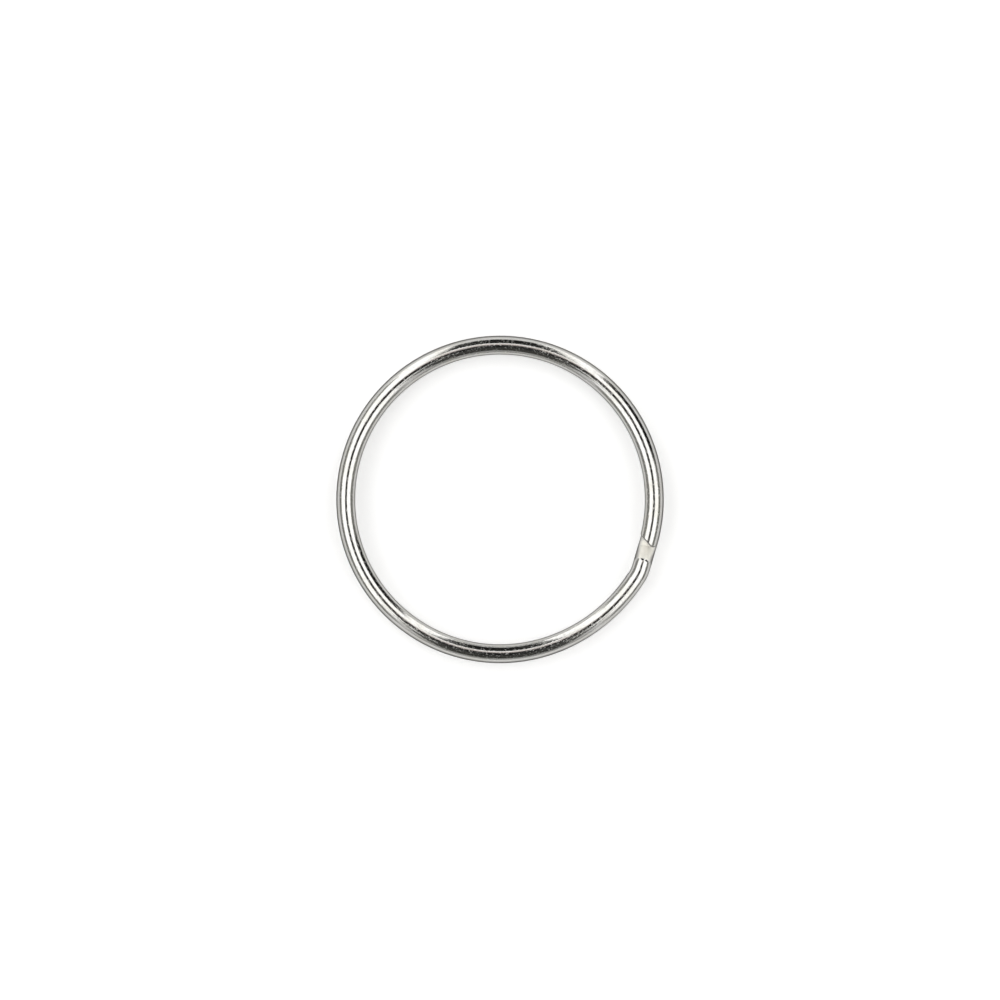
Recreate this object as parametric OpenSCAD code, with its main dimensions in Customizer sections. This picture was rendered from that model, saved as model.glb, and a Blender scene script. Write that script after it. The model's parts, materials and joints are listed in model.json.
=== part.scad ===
// Split key ring: one round spring-steel wire, wound into two turns that lie on each other.
// The ring's axis is Z and the ring lies flat, with its lowest line at Z = 0.
// Seen from above, the wire starts at its upper end and runs counter-clockwise round the upper
// turn, steps down through the crossover under its own start, and runs round the lower turn.

/* [Ring] */
// Outside diameter of the whole ring, over its wider lower turn
outer_d = 25; // [15:0.5:60]
// Diameter of the round wire
wire_d = 1.4; // [0.8:0.1:2.5]
// Clearance between the two turns
turn_gap = 0.03; // [0.02:0.01:0.2]
// How much further out the lower turn lies than the upper one
spring_out = 0.07; // [0.01:0.01:0.3]

/* [Crossover] */
// Ring angle, counter-clockwise from +X, at which the crossover lands on the lower turn
cross_angle = -17.4; // [-180:0.1:180]
// Inside radius of the bend at the top and at the foot of the slope
step_in_r = 0.03; // [0.02:0.01:0.2]
// Radius of the sideways bend that turns the wire into the crossover
side_r = 2.8; // [1.5:0.1:5]
// How much larger than the turn's own radius the flattened run before the crossover is
run_extra_r = 1; // [0.5:0.1:8]

/* [Wire ends] */
// Clearance, seen from above, between each wire end's tip and the bend that it faces
tip_gap = 0; // [0:0.01:1]
// Radius of the rounded corner at the tip
tip_r = 0.35; // [0.2:0.05:0.4]
// Slant of each end's cut, away from square
cut_angle = 31; // [0:1:45]

/* [Hidden] */
WIRE_FN = 64;
TURN_FN = 240;

// The crossover's slope falls 4 for every 3 along, which keeps its directions exact decimals.
SLOPE_COS = 0.6;
SLOPE_SIN = 0.8;
SLOPE_ANGLE = atan2(SLOPE_SIN, SLOPE_COS);
// Angles and lengths that stretches of wire share are kept to whole steps of these sizes, and
// positions to a whole step and an exact remainder, so that the stretches meet exactly.
ANGLE_STEP = 0.01;
LENGTH_STEP = 0.0001;
PLACE_STEP = 0.001;
// How far a cutter reaches past what it cuts, and the tip's rounding past the wire's side
SPARE = 0.1;
TIP_OVER = 0.05;

function to_step(v, size) = round(v / size) * size;
function toward(angle) = [cos(angle), sin(angle)];

wire_r = wire_d / 2;
low_turn_r = outer_d / 2 - wire_r;
high_turn_r = low_turn_r - spring_out;

// Slope: the two bends and the straight between them share the rise from turn to turn. The
// straight is kept to whole steps, and the rise follows from it.
step_r = wire_r + step_in_r;
bend_drop = step_r * (1 - SLOPE_COS);
bend_run = step_r * SLOPE_SIN;
slope_len = to_step((wire_d + turn_gap - 2 * bend_drop) / SLOPE_SIN, LENGTH_STEP);
step_run = 2 * bend_run + slope_len * SLOPE_COS;
rise = 2 * bend_drop + slope_len * SLOPE_SIN;
low_z = wire_r;
high_z = low_z + rise;

// The crossover's first point, and where the sideways bend's centre lies for it to end there
step_top = [low_turn_r, -step_run];
side_goal = step_top - [side_r, 0];

// Direction from the ring's axis to the point where a turn of radius r opens into its run-up.
// The run-up's arc encloses the turn and the sideways bend, and touches both.
function run_start(r) =
    let (
        past_side = r + run_extra_r - side_r,
        apart = norm(side_goal),
        squares = apart * apart + run_extra_r * run_extra_r - past_side * past_side,
        toward_side = atan2(side_goal.y, side_goal.x)
    )
    to_step(toward_side + acos(squares / (2 * apart * run_extra_r)) - 180, ANGLE_STEP);

// Centre of the run-up's arc
function run_centre(r) = -run_extra_r * toward(run_start(r));

// Direction from that centre to the run-up's last point
function run_end(r) =
    let (across = side_goal - run_centre(r))
    to_step(atan2(across.y, across.x), ANGLE_STEP);

// Centre of the sideways bend, and the point where the turn ends
function side_centre(r) = run_centre(r) + (r + run_extra_r - side_r) * toward(run_end(r));
function turn_end(r) = side_centre(r) + [side_r, 0];

// The upper turn ends where the crossover starts, which puts its own axis within a few microns
// of the ring's.
high_axis = step_top - turn_end(high_turn_r);

// Moves by whole steps and then by the remainder, which keeps every digit of a position
module place(at) {
    coarse = [for (v = at) to_step(v, PLACE_STEP)];
    translate(coarse)
        translate(at - coarse)
            children();
}

// Wire bent about the Z axis to radius r, between two directions
module bend(r, from, to) {
    rotate_extrude(start = from, angle = to - from, $fn = TURN_FN)
        place([r, 0])
            circle(r = wire_r, $fn = WIRE_FN);
}

// One turn of radius r: the full sweep, the flattened run-up and the sideways bend
module turn(r) {
    bend(r, 0, 360 + run_start(r));
    place(run_centre(r))
        bend(r + run_extra_r, run_start(r), run_end(r));
    place(side_centre(r))
        bend(side_r, run_end(r), 0);
}

// Wire that leaves the origin level along +Y and bends down to the slope's angle
module step_bend() {
    place([0, 0, -step_r])
        rotate([0, -90, 0])
            bend(step_r, 0, SLOPE_ANGLE);
}

// The crossover: a bend down, a straight slope, and the same bend turned over at its foot
module crossover() {
    step_bend();
    place([0, bend_run, -bend_drop])
        rotate([-90 - SLOPE_ANGLE, 0, 0])
            cylinder(h = slope_len, r = wire_r, $fn = WIRE_FN);
    place([0, step_run, -rise])
        rotate([180, 0, 0])
            step_bend();
}

// What the slanted cut takes off a wire that runs along +Y and has its tip in the plane Y = 0
module end_cut() {
    round_x = wire_r + TIP_OVER - tip_r;
    slant_x = round_x - tip_r * sin(cut_angle);
    slant_y = tip_r * (1 - cos(cut_angle));
    side_x = wire_d + SPARE;
    far_y = 3 * wire_d;
    translate([0, 0, -wire_d])
        linear_extrude(2 * wire_d)
            difference() {
                translate([-wire_d, -tip_gap - SPARE])
                    square([2 * wire_d, tip_gap + SPARE + wire_d]);
                translate([round_x, tip_r])
                    circle(r = tip_r, $fn = TURN_FN);
                polygon([
                    [slant_x, slant_y],
                    [round_x, tip_r],
                    [side_x, tip_r],
                    [side_x, far_y],
                    [-side_x, far_y],
                    [-side_x, slant_y + (slant_x + side_x) * tan(cut_angle)]
                ]);
            }
}

// The whole wire, with the foot of the slope on the +X axis
module wire() {
    place([high_axis.x, high_axis.y, high_z])
        difference() {
            turn(high_turn_r);
            translate([high_turn_r, tip_gap, 0])
                end_cut();
        }
    place([step_top.x, step_top.y, high_z])
        crossover();
    place([0, 0, low_z])
        difference() {
            turn(low_turn_r);
            place(turn_end(low_turn_r) - [0, tip_gap])
                rotate([180, 0, 0])
                    end_cut();
        }
}

module split_ring() {
    color([0.82, 0.81, 0.79])
        rotate([0, 0, cross_angle])
            wire();
}

split_ring();
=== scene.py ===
"""Split key ring: one bright-plated round spring wire, wound into two turns that lie on each other.

The ring lies flat on the studio floor, and the camera looks straight down on it. Sizes are in
metres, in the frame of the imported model.
"""

import json
import math

import bpy
from mathutils import Matrix, Vector
from mathutils.kdtree import KDTree

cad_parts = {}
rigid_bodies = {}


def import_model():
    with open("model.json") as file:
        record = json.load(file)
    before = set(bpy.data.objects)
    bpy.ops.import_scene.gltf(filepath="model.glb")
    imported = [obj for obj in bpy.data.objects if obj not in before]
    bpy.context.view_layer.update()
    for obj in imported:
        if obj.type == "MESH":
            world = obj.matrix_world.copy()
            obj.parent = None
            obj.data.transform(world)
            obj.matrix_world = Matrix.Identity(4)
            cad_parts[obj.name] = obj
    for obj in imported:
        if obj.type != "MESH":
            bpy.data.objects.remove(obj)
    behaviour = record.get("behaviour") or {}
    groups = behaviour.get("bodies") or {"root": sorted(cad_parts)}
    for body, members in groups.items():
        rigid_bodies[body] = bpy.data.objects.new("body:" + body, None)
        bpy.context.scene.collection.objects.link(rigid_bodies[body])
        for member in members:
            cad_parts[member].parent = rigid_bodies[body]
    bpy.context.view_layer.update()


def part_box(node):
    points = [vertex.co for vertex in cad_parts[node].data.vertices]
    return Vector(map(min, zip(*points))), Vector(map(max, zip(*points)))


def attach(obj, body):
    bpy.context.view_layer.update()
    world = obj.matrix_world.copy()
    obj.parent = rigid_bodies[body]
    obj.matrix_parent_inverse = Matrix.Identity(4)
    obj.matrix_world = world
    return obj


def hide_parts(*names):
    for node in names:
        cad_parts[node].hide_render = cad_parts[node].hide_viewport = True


bl_info = {
    "name": "Split key ring",
    "version": (1, 0, 0),
    "blender": (4, 5, 0),
    "location": "View3D > Sidebar > Key Ring",
    "description": "Models a split key ring of round wire, with its finish and its studio",
    "category": "Add Mesh",
}

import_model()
RING_LOW, RING_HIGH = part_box("split_ring")

MM = 0.001

# The slope falls 4 for every 3 along.
SLOPE_ANGLE = math.atan2(4, 3)
TURN_GAP = 0.03 * MM
WIRE_D = (RING_HIGH.z - RING_LOW.z - TURN_GAP) / 2
# How far the tip's rounding reaches past the wire's side, and where it meets that side
TIP_OVER = 0.05 * MM
FLANK_ANGLE = math.radians(-31)

# How finely the wire is modelled
WIRE_SIDES = 96
TURN_STEP = math.radians(1.2)
SIDEWAYS_STEP = math.radians(2)
STRAIGHT_STEPS = 12
SLANT_FACETS = 3
CORNER_FACETS = 6
BEVEL_SEGMENTS = 4
MERGE_DISTANCE = 1e-7
CUT_THRESHOLD = MERGE_DISTANCE / 10

# Edges at least this sharp are shaded sharp, or are softened as a rim or a crease
SMOOTH_ANGLE = math.radians(28)
RIM_ANGLE = math.radians(35)
CREASE_ANGLE = math.radians(6)
# How far a wire end reaches from its tip, in wire diameters
END_REACH = 1.5
# How far the cut faces lie from the tips, how far a crease reaches from the wire's line, how
# far from that line a point still counts as on the wire, and how far past the slope's foot the
# matt and its painted reflection reach, all in wire radii
CUT_REACH = 2
CREASE_REACH = 1.2
WIRE_SKIN = 1.02
FOOT_REACH = 1.35
# How much of the crease's width is bright before the matt slope starts
CREASE_SHARE = 0.7
# Heights over the wire's own line where the slope's matt and its painted reflection start and where
# they are full
MATT_START = 0.34 * MM
MATT_FULL = 0.5 * MM
# How far from level the normal of an upright cut face may be
UPRIGHT = 0.02

# The wire's material slots for its cut faces and for their rims. The rest has the first slot.
CUT_SLOT = 1
RIM_SLOT = 2
# New faces that are given this slot take the one of the faces beside them.
SAME_SLOT = -1

# The floor's width in metres, how far out its paper starts to turn to plain white and where it
# is white, and how much more light of its own it adds there
FLOOR_SIZE = 8
PAPER_END = 70 * MM
WHITE_START = 160 * MM
WHITE_GLOW = 0.7
# Brightness of the strip light
STRIP_LEVEL = 0.9
# How far toward -Y of the ring's middle the camera stands, and its sensor's width in millimetres
CAMERA_DROP = 0.042 * MM
SENSOR_WIDTH = 36


# ------------------------------------------------------------------------------------------
# Sizes and colours


class KeyRingSizes(bpy.types.PropertyGroup):
    """Sizes of the wire and of its crossover"""

    outer_d: bpy.props.FloatProperty(
        name="Outside diameter",
        description="Diameter over the wider lower turn",
        default=RING_HIGH.x - RING_LOW.x,
        unit="LENGTH",
    )
    wire_d: bpy.props.FloatProperty(
        name="Wire diameter",
        description="Diameter of the round wire",
        default=WIRE_D,
        unit="LENGTH",
    )
    turn_gap: bpy.props.FloatProperty(
        name="Gap between turns",
        description="Clearance between the two turns",
        default=TURN_GAP,
        unit="LENGTH",
    )
    spring_out: bpy.props.FloatProperty(
        name="Spring-out",
        description="How much further out the lower turn lies than the upper one",
        default=0.07 * MM,
        unit="LENGTH",
    )
    cross_angle: bpy.props.FloatProperty(
        name="Crossover angle",
        description="Ring angle at which the crossover lands on the lower turn",
        default=math.radians(-17.4),
        subtype="ANGLE",
    )
    step_in_r: bpy.props.FloatProperty(
        name="Step radius",
        description="Inside radius of the bend at the top and at the foot of the slope",
        default=0.03 * MM,
        unit="LENGTH",
    )
    side_r: bpy.props.FloatProperty(
        name="Side bend radius",
        description="Radius of the sideways bend that turns the wire into the crossover",
        default=2.8 * MM,
        unit="LENGTH",
    )
    run_extra_r: bpy.props.FloatProperty(
        name="Run-up extra radius",
        description="How much larger than the turn's radius the flattened run-up is",
        default=1.0 * MM,
        unit="LENGTH",
    )
    tip_r: bpy.props.FloatProperty(
        name="Tip radius",
        description="Radius of the rounded corner at each wire end",
        default=0.35 * MM,
        unit="LENGTH",
    )
    cut_angle: bpy.props.FloatProperty(
        name="Cut angle",
        description="Slant of each end's cut, away from square",
        default=math.radians(31),
        subtype="ANGLE",
    )
    # The rim is a real rounding of the cut's edge; its dark colour is painted shade.
    rim: bpy.props.FloatProperty(
        name="Rim width",
        description="Width of the rubbed rim round each cut end",
        default=0.08 * MM,
        unit="LENGTH",
    )
    crease: bpy.props.FloatProperty(
        name="Crease width",
        description="Width of the softened crease on the outer side of each bend of the step",
        default=0.14 * MM,
        unit="LENGTH",
    )


class KeyRingFinish(bpy.types.PropertyGroup):
    """Colours and gloss of the plated wire"""

    plate: bpy.props.FloatVectorProperty(
        name="Plating",
        description="Colour of the clean bright plating",
        default=(0.51, 0.505, 0.49),
        size=3,
        min=0,
        max=1,
        subtype="COLOR",
    )
    tarnish: bpy.props.FloatVectorProperty(
        name="Tarnish",
        description="Colour of the faint patches that handling leaves",
        default=(0.46, 0.45, 0.41),
        size=3,
        min=0,
        max=1,
        subtype="COLOR",
    )
    # The rims' dark colour is painted shade, standing for the shadowed gap round each cut end.
    shade_painted: bpy.props.FloatVectorProperty(
        name="Rubbed edge",
        description="Colour of the rims of the cut ends, where the plating is thin",
        default=(0.2, 0.195, 0.185),
        size=3,
        min=0,
        max=1,
        subtype="COLOR",
    )
    # This near-white colour is a painted reflection of bright light, on the slope and on the cut
    # faces, which are also made rough.
    matt_painted_light: bpy.props.FloatVectorProperty(
        name="Matted plating",
        description="Colour of the slope and the cut ends, which the die and the cutter leave matt",
        default=(0.95, 0.93, 0.87),
        size=3,
        min=0,
        max=1,
        subtype="COLOR",
    )
    roughness: bpy.props.FloatProperty(
        name="Roughness",
        description="Roughness of the plating where it is brightest",
        default=0.1,
        min=0,
        max=1,
        subtype="FACTOR",
    )


class KeyRingStudio(bpy.types.PropertyGroup):
    """Light levels of the studio and the place of its camera"""

    softbox: bpy.props.FloatProperty(
        name="Softboxes",
        description="Brightness of the two large softboxes and the two tall panels",
        default=2.15,
        min=0,
    )
    floor_glow: bpy.props.FloatProperty(
        name="Floor glow",
        description="How much of its own light the pale floor adds",
        default=0.43,
        min=0,
    )
    camera_height: bpy.props.FloatProperty(
        name="Camera height",
        description="Height of the camera over the middle of the ring",
        default=0.6,
        unit="LENGTH",
    )
    view_width: bpy.props.FloatProperty(
        name="View width",
        description="Width that the camera takes in at the ring",
        default=76.22 * MM,
        unit="LENGTH",
    )


# ------------------------------------------------------------------------------------------
# The wire's path


class Arc:
    """A stretch of wire bent about an axis."""

    def __init__(self, centre, axis, angle, step):
        self.centre = centre
        self.axis = axis
        self.angle = angle
        self.steps = math.ceil(abs(angle) / step)

    def move(self, share):
        """The movement that carries the wire's section over that share of the stretch."""
        turn = Matrix.Rotation(self.angle * share, 4, self.axis)
        return Matrix.Translation(self.centre) @ turn @ Matrix.Translation(-self.centre)


class Straight:
    """A straight stretch of wire. Its far end is mitred square to facing."""

    def __init__(self, start, end, facing):
        self.start = start
        self.end = end
        self.way = (end - start).normalized()
        self.facing = facing.normalized()
        self.steps = STRAIGHT_STEPS

    def move(self, share):
        return Matrix.Translation((self.end - self.start) * share)


class WirePath:
    """The wire from its upper end to its lower one, with the foot of the slope on the X axis."""

    def __init__(self, sizes):
        self.wire_r = sizes.wire_d / 2
        self.side_r = sizes.side_r
        self.extra_r = sizes.run_extra_r
        low_r = sizes.outer_d / 2 - self.wire_r
        high_r = low_r - sizes.spring_out
        step_r = self.wire_r + sizes.step_in_r
        rise = sizes.wire_d + sizes.turn_gap
        corner = step_r * math.tan(SLOPE_ANGLE / 2)
        step_run = 2 * corner + rise / math.tan(SLOPE_ANGLE)
        low_z = RING_LOW.z + self.wire_r
        high_z = low_z + rise
        self.side_goal = Vector((low_r - self.side_r, -step_run, 0))
        step_top = Vector((low_r, -step_run, high_z))

        high_turn, high_end = self.turn(high_r)
        high_axis = step_top - high_end
        low_turn, low_end = self.turn(low_r)
        low_axis = Vector((0, 0, low_z))
        for arcs, axis in ((high_turn, high_axis), (low_turn, low_axis)):
            for arc in arcs:
                arc.centre = arc.centre + axis
        self.start = high_axis + Vector((high_r, 0, 0))
        self.end = low_axis + low_end

        # The step's two bends are set sharp, as a die sets them, where its lines cross.
        level = Vector((0, 1, 0))
        slope = Vector((0, math.cos(SLOPE_ANGLE), -math.sin(SLOPE_ANGLE)))
        foot = Vector((low_r, 0, low_z))
        self.slope_top = step_top + level * corner
        self.slope_foot = foot - level * corner
        self.slope = slope
        self.mitre = (level + slope).normalized()
        step = [
            Straight(step_top, self.slope_top, self.mitre),
            Straight(self.slope_top, self.slope_foot, self.mitre),
            Straight(self.slope_foot, foot, level),
        ]
        self.stretches = [*high_turn, *step, *low_turn]

    def turn(self, r):
        """The stretches of one turn of radius r about the origin, and the point where it ends."""
        up = Vector((0, 0, 1))
        goal = self.side_goal
        past = r + self.extra_r - self.side_r
        squares = goal.length_squared + self.extra_r**2 - past**2
        widen = math.acos(squares / (2 * goal.length * self.extra_r))
        opens = math.atan2(goal.y, goal.x) + widen - math.pi
        run_centre = Vector((math.cos(opens), math.sin(opens), 0)) * -self.extra_r
        reach = goal - run_centre
        turns = math.atan2(reach.y, reach.x)
        toward = Vector((math.cos(turns), math.sin(turns), 0))
        side_centre = run_centre + toward * past
        arcs = [
            Arc(Vector(), up, 2 * math.pi + opens, TURN_STEP),
            Arc(run_centre, up, turns - opens, TURN_STEP),
            Arc(side_centre, up, -turns, SIDEWAYS_STEP),
        ]
        return arcs, side_centre + Vector((self.side_r, 0, 0))

    def sections(self):
        """Place, direction, outward side, upper side and length so far, at each section."""
        place = self.start.copy()
        along, out, up = Vector((0, 1, 0)), Vector((1, 0, 0)), Vector((0, 0, 1))
        length = 0.0
        found = [(place, along, out, up, length)]
        for stretch in self.stretches:
            before = (place, along, out, up)
            if isinstance(stretch, Straight):
                before = (place, stretch.way, out, out.cross(stretch.way))
            for step in range(1, stretch.steps + 1):
                move = stretch.move(step / stretch.steps)
                turned = move.to_3x3()
                went = move @ before[0]
                length += (went - place).length
                place = went
                along, out, up = (turned @ v for v in before[1:])
                found.append((place, along, out, up, length))
        return found


# ------------------------------------------------------------------------------------------
# Modelling


def deselect_everything():
    for thing in bpy.context.selected_objects:
        thing.select_set(False)


class WireEnd:
    """One end of the wire: its tip on the wire's own line, and the way into the wire."""

    def __init__(self, tip, inward, sizes):
        self.tip = tip
        self.inward = inward
        self.reach = sizes.wire_d * END_REACH
        self.level = (sizes.wire_d + sizes.turn_gap) / 2

    def holds(self, spot):
        """Whether a spot belongs to this end, and not to the wire that passes it."""
        offset = spot - self.tip
        inside = -MERGE_DISTANCE < offset.dot(self.inward) < self.reach
        return inside and offset.length < self.reach and abs(offset.z) < self.level


def extrude_straight(stretch, spare):
    """Extrudes the selected section along a straight, and mitres it at the far end."""
    bpy.ops.mesh.extrude_edges_move(
        TRANSFORM_OT_translate={"value": stretch.end - stretch.start + stretch.way * spare}
    )
    bpy.ops.mesh.select_more()
    bpy.ops.mesh.bisect(
        plane_co=stretch.end,
        plane_no=stretch.facing,
        clear_outer=True,
        threshold=CUT_THRESHOLD,
    )


def sweep_wire(path, materials):
    """Carries a circle along the path, and closes both ends. Leaves the wire in edit mode."""
    deselect_everything()
    bpy.ops.mesh.primitive_circle_add(
        vertices=WIRE_SIDES,
        radius=path.wire_r,
        fill_type="NOTHING",
        location=path.start,
        rotation=(math.pi / 2, 0, 0),
    )
    wire = bpy.context.active_object
    for material in materials:
        wire.data.materials.append(material)
    bpy.ops.object.transform_apply(location=True, rotation=True, scale=True)
    bpy.ops.object.mode_set(mode="EDIT")
    bpy.ops.mesh.select_all(action="SELECT")
    for stretch in path.stretches:
        if isinstance(stretch, Straight):
            extrude_straight(stretch, path.wire_r)
            continue
        # Spin turns clockwise about its axis.
        bpy.ops.mesh.spin(
            steps=stretch.steps,
            angle=-stretch.angle,
            center=stretch.centre,
            axis=stretch.axis,
            use_auto_merge=False,
        )
    bpy.ops.mesh.select_all(action="SELECT")
    bpy.ops.mesh.remove_doubles(threshold=MERGE_DISTANCE)
    bpy.ops.mesh.fill_holes(sides=0)
    return wire


def select_points(mesh, wanted):
    """In edit mode, selects just the wanted points and what lies between them."""
    bpy.ops.mesh.select_mode(type="VERT")
    bpy.ops.mesh.select_all(action="DESELECT")
    bpy.ops.object.mode_set(mode="OBJECT")
    mesh.vertices.foreach_set("select", [wanted(vertex.co) for vertex in mesh.vertices])
    bpy.ops.object.mode_set(mode="EDIT")


def cut_end(wire, end, sizes):
    """Cuts a wire end on the slant and rounds its outer corner."""
    out = Vector((1, 0, 0))
    beside = sizes.wire_d / 2 + TIP_OVER - sizes.tip_r
    corner = end.tip + out * beside + end.inward * sizes.tip_r
    square = -math.pi / 2
    slant = square - sizes.cut_angle
    # The wire's square end stands for the facet between these two sets.
    angles = [slant + sizes.cut_angle * i / SLANT_FACETS for i in range(SLANT_FACETS)]
    for i in range(1, CORNER_FACETS + 1):
        angles.append(square + (FLANK_ANGLE - square) * i / CORNER_FACETS)
    for angle in angles:
        normal = out * math.cos(angle) + end.inward * math.sin(angle)
        select_points(wire.data, end.holds)
        bpy.ops.mesh.bisect(
            plane_co=corner + normal * sizes.tip_r,
            plane_no=normal,
            use_fill=True,
            clear_outer=True,
            threshold=CUT_THRESHOLD,
        )


def soften_edges(wire, wanted, width, sharpness, slot, slide):
    """Rounds the edges at least that sharp whose two points are wanted.

    slot is the material slot of the new faces. slide keeps the new points on the edges that
    cross the old one, which on a slanted rim would carry them past those edges' ends.
    """
    mesh = wire.data
    bpy.ops.mesh.select_all(action="DESELECT")
    bpy.ops.mesh.select_mode(type="EDGE")
    bpy.ops.mesh.edges_select_sharp(sharpness=sharpness)
    bpy.ops.object.mode_set(mode="OBJECT")
    chosen = [
        edge.select and all(wanted(mesh.vertices[i].co) for i in edge.vertices)
        for edge in mesh.edges
    ]
    mesh.edges.foreach_set("select", chosen)
    # A face that stays selected would select its edges again.
    mesh.polygons.foreach_set("select", [False] * len(mesh.polygons))
    bpy.ops.object.mode_set(mode="EDIT")
    bpy.ops.mesh.bevel(
        offset=width,
        segments=BEVEL_SEGMENTS,
        profile=0.5,
        clamp_overlap=False,
        material=slot,
        loop_slide=slide,
    )
    bpy.ops.mesh.select_mode(type="VERT")


def soften_creases(wire, path, sizes):
    """Rounds the outer side of the step's two bends. Their inner sides stay creased."""
    for corner, outer in ((path.slope_top, 1), (path.slope_foot, -1)):

        def on_crease(spot):
            offset = spot - corner
            in_mitre = abs(offset.dot(path.mitre)) < MERGE_DISTANCE
            near = offset.length < CREASE_REACH * path.wire_r
            return in_mitre and near and offset.z * outer > 0

        soften_edges(wire, on_crease, sizes.crease, CREASE_ANGLE, SAME_SLOT, True)


def mark_wire_coords(wire, path):
    """Gives each point its length along the wire and its place across it, for the finish."""
    sections = path.sections()
    tree = KDTree(len(sections))
    for i, section in enumerate(sections):
        tree.insert(section[0], i)
    tree.balance()
    mesh = wire.data
    coords = mesh.attributes.new("wire_coords", "FLOAT_VECTOR", "POINT")
    for vertex, coord in zip(mesh.vertices, coords.data):
        _, i, _ = tree.find(vertex.co)
        place, along, out, up, length = sections[i]
        offset = vertex.co - place
        coord.vector = (length + offset.dot(along), offset.dot(out), offset.dot(up))


def mark_slope(wire, path, crease):
    """Marks the slope, below its bright crease, and its foot, which are made matt and given a
    painted reflection.
    """
    marks = wire.data.attributes.new("matt_painted_light", "FLOAT", "POINT")
    for vertex, mark in zip(wire.data.vertices, marks.data):
        past_top = (vertex.co - path.slope_top).dot(path.mitre) > crease * CREASE_SHARE
        before_foot = (vertex.co - path.slope_foot).dot(path.mitre) < MERGE_DISTANCE
        beside = (vertex.co - path.slope_top).cross(path.slope).length
        on_slope = past_top and before_foot and beside < WIRE_SKIN * path.wire_r
        from_foot = vertex.co - path.slope_foot
        close = from_foot.length < FOOT_REACH * path.wire_r
        mark.value = on_slope or (close and 0 < from_foot.z < WIRE_SKIN * path.wire_r)


def mark_cut_faces(wire, path):
    """Gives the upright faces of the cut ends the cut material, which is rough and lightened toward
    near-white as painted light.
    """
    for face in wire.data.polygons:
        near = min((face.center - tip).length for tip in (path.start, path.end))
        if near < path.wire_r * CUT_REACH and abs(face.normal.z) < UPRIGHT:
            face.material_index = CUT_SLOT


def finish_wire(wire):
    bpy.ops.mesh.select_all(action="SELECT")
    bpy.ops.mesh.remove_doubles(threshold=MERGE_DISTANCE)
    bpy.ops.mesh.normals_make_consistent(inside=False)
    bpy.ops.object.mode_set(mode="OBJECT")


# ------------------------------------------------------------------------------------------
# Finishes


class Value:
    """What comes out of a node. Plain sums with it add the Math nodes that they need."""

    def __init__(self, recipe, socket):
        self.recipe = recipe
        self.socket = socket

    def maths(self, operation, *values):
        node = self.recipe.nodes.new("ShaderNodeMath")
        node.operation = operation
        for slot, value in zip(node.inputs, values):
            self.recipe.plug(slot, value)
        return Value(self.recipe, node.outputs[0])

    def __add__(self, other):
        return self.maths("ADD", self, other)

    def __radd__(self, other):
        return self.maths("ADD", other, self)

    def __sub__(self, other):
        return self.maths("SUBTRACT", self, other)

    def __rsub__(self, other):
        return self.maths("SUBTRACT", other, self)

    def __mul__(self, other):
        return self.maths("MULTIPLY", self, other)

    def above(self, low, high):
        """0 below low, 1 above high, and a straight ramp between."""
        ramp = (self - low) * (1 / (high - low))
        ramp.socket.node.use_clamp = True
        return ramp


class Recipe:
    """A material or world in the making."""

    def __init__(self, owner):
        owner.use_nodes = True
        self.owner = owner
        self.nodes = owner.node_tree.nodes
        self.links = owner.node_tree.links
        self.nodes.clear()

    def plug(self, slot, value):
        if isinstance(value, Value):
            self.links.new(value.socket, slot)
        elif hasattr(slot.default_value, "__len__") and len(slot.default_value) == 4:
            slot.default_value = (*value, 1)
        else:
            slot.default_value = value

    def node(self, kind, settings=None, inputs=None, out=0):
        """Adds any node: its settings first, then its sockets."""
        node = self.nodes.new("ShaderNode" + kind)
        for name, value in (settings or {}).items():
            setattr(node, name, value)
        for name, value in (inputs or {}).items():
            self.plug(node.inputs[name], value)
        return Value(self, node.outputs[out]) if node.outputs else None

    def stretched(self, vector, scale):
        """A vector with each part scaled on its own."""
        return self.node("VectorMath", {"operation": "MULTIPLY"}, {0: vector, 1: scale})

    def noise(self, vector, detail, roughness):
        inputs = {"Vector": vector, "Scale": 1.0, "Detail": detail, "Roughness": roughness}
        return self.node("TexNoise", None, inputs)

    def blend(self, share, first, second):
        """A colour between two, by share."""
        node = self.nodes.new("ShaderNodeMix")
        node.data_type = "RGBA"
        self.plug(node.inputs[0], share)
        self.plug(node.inputs[6], first)
        self.plug(node.inputs[7], second)
        return Value(self, node.outputs[2])

    def bump(self, height, distance, normal=None):
        inputs = {"Height": height, "Distance": distance}
        if normal is not None:
            inputs["Normal"] = normal
        return self.node("Bump", None, inputs)


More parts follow.
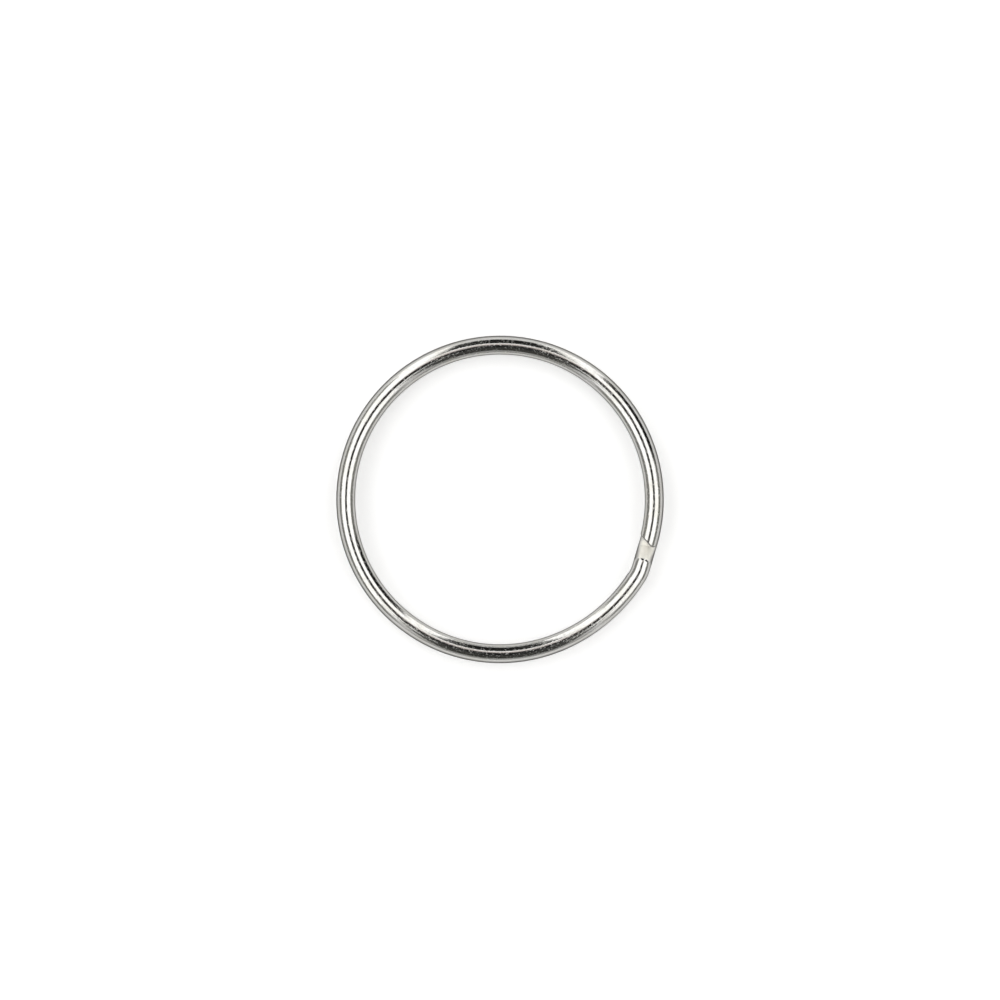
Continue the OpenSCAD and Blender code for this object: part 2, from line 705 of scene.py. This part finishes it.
def plated_wire(finish):
    """Bright plating over drawn wire: fine lines along it, faint patches and tiny nicks, with a
    painted reflection on the slope's upper side.
    """
    recipe = Recipe(bpy.data.materials.new("bright_plate_wire"))
    coords = recipe.node("Attribute", {"attribute_name": "wire_coords"}, out=1)
    # Only the slope's upper side is made matt and given the painted reflection.
    upper = recipe.node("SeparateXYZ", None, {0: coords}, out=2).above(MATT_START, MATT_FULL)
    matt_painted_light = recipe.node("Attribute", {"attribute_name": "matt_painted_light"}, out=2) * upper
    # Each noise is scaled per metre along the wire, outward and upward.
    fine_lines = recipe.noise(recipe.stretched(coords, (250, 26000, 26000)), 3, 0.6)
    broad_lines = recipe.noise(recipe.stretched(coords, (900, 6000, 6000)), 2, 0.5)
    mottle = recipe.noise(recipe.stretched(coords, (5200, 9000, 9000)), 3, 0.6)
    patches = recipe.noise(recipe.stretched(coords, (700, 900, 900)), 4, 0.6)
    waves = recipe.noise(recipe.stretched(coords, (450, 700, 700)), 1, 0.4)
    nicks = recipe.noise(recipe.stretched(coords, (4200, 5200, 5200)), 2, 0.5).above(0.66, 0.78)
    worn = patches.above(0.45, 0.7)
    plating = recipe.blend(worn * 0.6 + nicks * 0.3, finish.plate, finish.tarnish)
    # The slope's upper side turns near-white: painted reflection. Its lower metallic there makes it
    # lighter still.
    colour = recipe.blend(matt_painted_light * (1 - nicks * 0.5), plating, finish.matt_painted_light)
    scuffs = mottle.above(0.52, 0.66)
    roughness = finish.roughness + worn * 0.05 + fine_lines * 0.04
    roughness = roughness + scuffs * 0.2 + nicks * 0.12
    height = fine_lines * 0.2 + broad_lines * 0.3 + mottle * 0.9 - nicks * 1.0
    grain = recipe.bump(height, 0.0014 * MM)
    normal = recipe.bump(waves, 0.012 * MM, grain)
    shader = recipe.node(
        "BsdfPrincipled",
        None,
        {
            "Base Color": colour,
            "Metallic": 1 - matt_painted_light * 0.45,
            "Roughness": roughness + matt_painted_light * 0.6,
            "Specular Tint": (0.05, 0.05, 0.05),
            "Normal": normal,
        },
    )
    recipe.node("OutputMaterial", None, {"Surface": shader})
    return recipe.owner


def cut_metal(name, low, high, finish):
    """Plating over the coarse marks of the cutter, between two colours."""
    recipe = Recipe(bpy.data.materials.new("bright_plate_" + name))
    coords = recipe.node("TexCoord", None, out=3)
    marks = recipe.noise(recipe.stretched(coords, (9000, 9000, 900)), 3, 0.6)
    torn = recipe.noise(recipe.stretched(coords, (3000, 3000, 3000)), 4, 0.65)
    colour = recipe.blend(torn.above(0.4, 0.75), low, high)
    normal = recipe.bump(marks * 0.6 + torn, 0.006 * MM)
    shader = recipe.node(
        "BsdfPrincipled",
        None,
        {
            "Base Color": colour,
            "Metallic": 1.0,
            "Roughness": finish.roughness + 0.2 + torn * 0.2,
            "Normal": normal,
        },
    )
    recipe.node("OutputMaterial", None, {"Surface": shader})
    return recipe.owner


def seen_directly(recipe):
    """1 for what the camera sees, straight or through gloss or glass, and 0 otherwise."""
    path = recipe.nodes.new("ShaderNodeLightPath")
    camera, glossy, through = (
        Value(recipe, path.outputs[name])
        for name in ("Is Camera Ray", "Is Glossy Ray", "Is Transmission Ray")
    )
    return (camera + glossy + through).above(0, 1)


def floor_paper(glow):
    """Pale paper, with a faint tooth, that adds a little light of its own where it is seen."""
    recipe = Recipe(bpy.data.materials.new("pale_floor"))
    coords = recipe.node("TexCoord", None, out=3)
    tooth = recipe.noise(recipe.stretched(coords, (400, 400, 400)), 3, 0.6)
    colour = recipe.blend(tooth, (0.69, 0.69, 0.69), (0.71, 0.71, 0.71))
    paper = recipe.node("BsdfDiffuse", None, {"Color": colour})
    # The paper runs out to plain white, clear of the ring's own shadow.
    spread = recipe.node("VectorMath", {"operation": "LENGTH"}, {0: coords}, out=1)
    strength = spread.above(PAPER_END, WHITE_START) * WHITE_GLOW + glow
    light = recipe.node(
        "Emission", None, {"Color": (1, 1, 1), "Strength": seen_directly(recipe) * strength}
    )
    both = recipe.node("AddShader", None, {0: paper, 1: light})
    recipe.node("OutputMaterial", None, {"Surface": both})
    return recipe.owner


def lit_panel(name, colour, strength):
    """An even light of one colour."""
    recipe = Recipe(bpy.data.materials.new(name))
    light = recipe.node("Emission", None, {"Color": colour, "Strength": strength})
    recipe.node("OutputMaterial", None, {"Surface": light})
    return recipe.owner


def matt_card(name, colour):
    """A dull card of one colour."""
    recipe = Recipe(bpy.data.materials.new(name))
    card = recipe.node("BsdfDiffuse", None, {"Color": colour})
    recipe.node("OutputMaterial", None, {"Surface": card})
    return recipe.owner


# ------------------------------------------------------------------------------------------
# Studio


def panel(name, material, azimuth, first, last, half_width, distance, taper=1.0):
    """A flat panel that faces the ring and spans two angles away from straight overhead.

    azimuth is where it stands round the ring, half_width is measured at its middle as an angle,
    and taper is how wide its upper edge is against its lower one.
    """
    middle = (first + last) / 2
    half = (last - first) / 2
    turn = math.radians(azimuth)
    tilt = math.radians(middle)
    spot = Vector(
        (math.sin(tilt) * math.cos(turn), math.sin(tilt) * math.sin(turn), math.cos(tilt))
    )
    deselect_everything()
    bpy.ops.mesh.primitive_plane_add(
        size=2, location=spot * distance, rotation=(0, tilt, turn)
    )
    card = bpy.context.active_object
    card.name = name
    height = distance * math.tan(math.radians(half))
    width = distance * math.tan(math.radians(half_width))
    for vertex in card.data.vertices:
        narrowed = taper if vertex.co.x < 0 else 1.0
        vertex.co = (vertex.co.x * height, vertex.co.y * width * narrowed, 0)
    card.data.materials.append(material)


# ------------------------------------------------------------------------------------------
# Operators and panel


class KEYRING_OT_add_wire(bpy.types.Operator):
    """Model the wire of the key ring"""

    bl_idname = "keyring.add_wire"
    bl_label = "Add Wire"
    bl_options = {"REGISTER", "UNDO"}

    def execute(self, context):
        sizes = context.scene.key_ring_sizes
        finish = context.scene.key_ring_finish
        path = WirePath(sizes)
        materials = (
            plated_wire(finish),
            # The cut faces are mixed toward the same near-white colour: painted light.
            cut_metal("cut", finish.matt_painted_light, finish.plate, finish),
            # The rims round the cut ends take the dark colour: painted shade.
            cut_metal("rim", finish.shade_painted, finish.shade_painted, finish),
        )
        wire = sweep_wire(path, materials)
        upper_end = WireEnd(path.start, Vector((0, 1, 0)), sizes)
        lower_end = WireEnd(path.end, Vector((0, -1, 0)), sizes)
        for end in (upper_end, lower_end):
            cut_end(wire, end, sizes)
            soften_edges(wire, end.holds, sizes.rim, RIM_ANGLE, RIM_SLOT, False)
        soften_creases(wire, path, sizes)
        finish_wire(wire)
        mark_wire_coords(wire, path)
        mark_slope(wire, path, sizes.crease)
        mark_cut_faces(wire, path)
        wire.rotation_euler.z = sizes.cross_angle
        bpy.ops.object.transform_apply(location=True, rotation=True, scale=True)
        bpy.ops.object.shade_smooth_by_angle(angle=SMOOTH_ANGLE)
        wire.name = wire.data.name = "key_ring_wire"
        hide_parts("split_ring")
        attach(wire, "root")
        return {"FINISHED"}


class KEYRING_OT_set_stage(bpy.types.Operator):
    """Set up the floor, the softboxes, the cards and the world"""

    bl_idname = "keyring.set_stage"
    bl_label = "Set Stage"
    bl_options = {"REGISTER", "UNDO"}

    def execute(self, context):
        studio = context.scene.key_ring_studio
        deselect_everything()
        bpy.ops.mesh.primitive_plane_add(size=FLOOR_SIZE)
        floor = context.active_object
        floor.name = "studio_floor"
        floor.data.materials.append(floor_paper(studio.floor_glow))

        white = lit_panel("softbox_light", (1, 1, 0.99), studio.softbox)
        strip = lit_panel("strip_light", (1, 0.9, 0.88), STRIP_LEVEL)
        black = matt_card("black_card", (0.02, 0.02, 0.02))
        dark = matt_card("dark_card", (0.09, 0.09, 0.085))
        grey = matt_card("grey_card", (0.42, 0.42, 0.4))
        pale = matt_card("pale_card", (0.62, 0.62, 0.61))
        # Azimuth, two angles from overhead and half width in degrees, distance in metres, taper
        panel("softbox_right", white, 0, 12, 62, 34, 1.0)
        panel("softbox_left", white, 180, 12, 62, 34, 1.0)
        panel("tall_panel_right", white, 61, 14, 92, 16, 1.25)
        panel("tall_panel_left", white, 121, 14, 92, 16, 1.25)
        panel("strip_top", strip, 89, 3, 21, 11, 0.72, 0.7)
        panel("black_top", black, 88.5, 27, 80, 20, 0.76, 0.75)
        panel("black_side", black, 32.5, 47, 89, 18, 0.74, 0.8)
        panel("dark_overhead", black, 270, -7, 26, 12.5, 0.68)
        panel("dark_behind", dark, 270, 24, 64, 24, 0.8)
        panel("low_card_right", grey, 0, 56, 88, 48, 0.9)
        panel("low_card_left", grey, 180, 56, 88, 48, 0.9)
        panel("low_card_behind", pale, 270, 64, 87, 34, 0.9)

        world = bpy.data.worlds.new("pale_studio")
        context.scene.world = world
        recipe = Recipe(world)
        light = recipe.node("Background", None, {"Color": (1, 1, 1), "Strength": 1.0})
        recipe.node("OutputWorld", None, {"Surface": light})
        return {"FINISHED"}


class KEYRING_OT_set_camera(bpy.types.Operator):
    """Place the camera straight over the ring"""

    bl_idname = "keyring.set_camera"
    bl_label = "Set Camera"
    bl_options = {"REGISTER", "UNDO"}

    def execute(self, context):
        studio = context.scene.key_ring_studio
        middle = (RING_LOW + RING_HIGH) / 2
        deselect_everything()
        bpy.ops.object.camera_add(
            location=(middle.x, middle.y - CAMERA_DROP, middle.z + studio.camera_height),
            rotation=(0, 0, 0),
        )
        camera = context.active_object
        camera.name = "camera"
        camera.data.sensor_width = SENSOR_WIDTH
        camera.data.lens = SENSOR_WIDTH * studio.camera_height / studio.view_width
        camera.data.clip_start = 0.01
        camera.data.clip_end = 10
        context.scene.camera = camera
        return {"FINISHED"}


class KEYRING_PT_sidebar(bpy.types.Panel):
    """The key ring's sizes, finish and studio"""

    bl_idname = "KEYRING_PT_sidebar"
    bl_label = "Key Ring"
    bl_space_type = "VIEW_3D"
    bl_region_type = "UI"
    bl_category = "Key Ring"

    def draw(self, context):
        scene = context.scene
        parts = (
            (scene.key_ring_sizes, KEYRING_OT_add_wire),
            (scene.key_ring_finish, None),
            (scene.key_ring_studio, KEYRING_OT_set_stage),
        )
        for group, operator in parts:
            box = self.layout.box()
            for name in group.__annotations__:
                box.prop(group, name)
            if operator:
                box.operator(operator.bl_idname)
        self.layout.operator(KEYRING_OT_set_camera.bl_idname)


CLASSES = (
    KeyRingSizes,
    KeyRingFinish,
    KeyRingStudio,
    KEYRING_OT_add_wire,
    KEYRING_OT_set_stage,
    KEYRING_OT_set_camera,
    KEYRING_PT_sidebar,
)


def register():
    for cls in CLASSES:
        bpy.utils.register_class(cls)
    bpy.types.Scene.key_ring_sizes = bpy.props.PointerProperty(type=KeyRingSizes)
    bpy.types.Scene.key_ring_finish = bpy.props.PointerProperty(type=KeyRingFinish)
    bpy.types.Scene.key_ring_studio = bpy.props.PointerProperty(type=KeyRingStudio)


def unregister():
    del bpy.types.Scene.key_ring_studio
    del bpy.types.Scene.key_ring_finish
    del bpy.types.Scene.key_ring_sizes
    for cls in reversed(CLASSES):
        bpy.utils.unregister_class(cls)


def main():
    register()
    bpy.ops.keyring.set_camera()
    bpy.ops.keyring.add_wire()
    bpy.ops.keyring.set_stage()
    bpy.context.scene.view_settings.view_transform = "Standard"


if __name__ == "__main__":
    main()
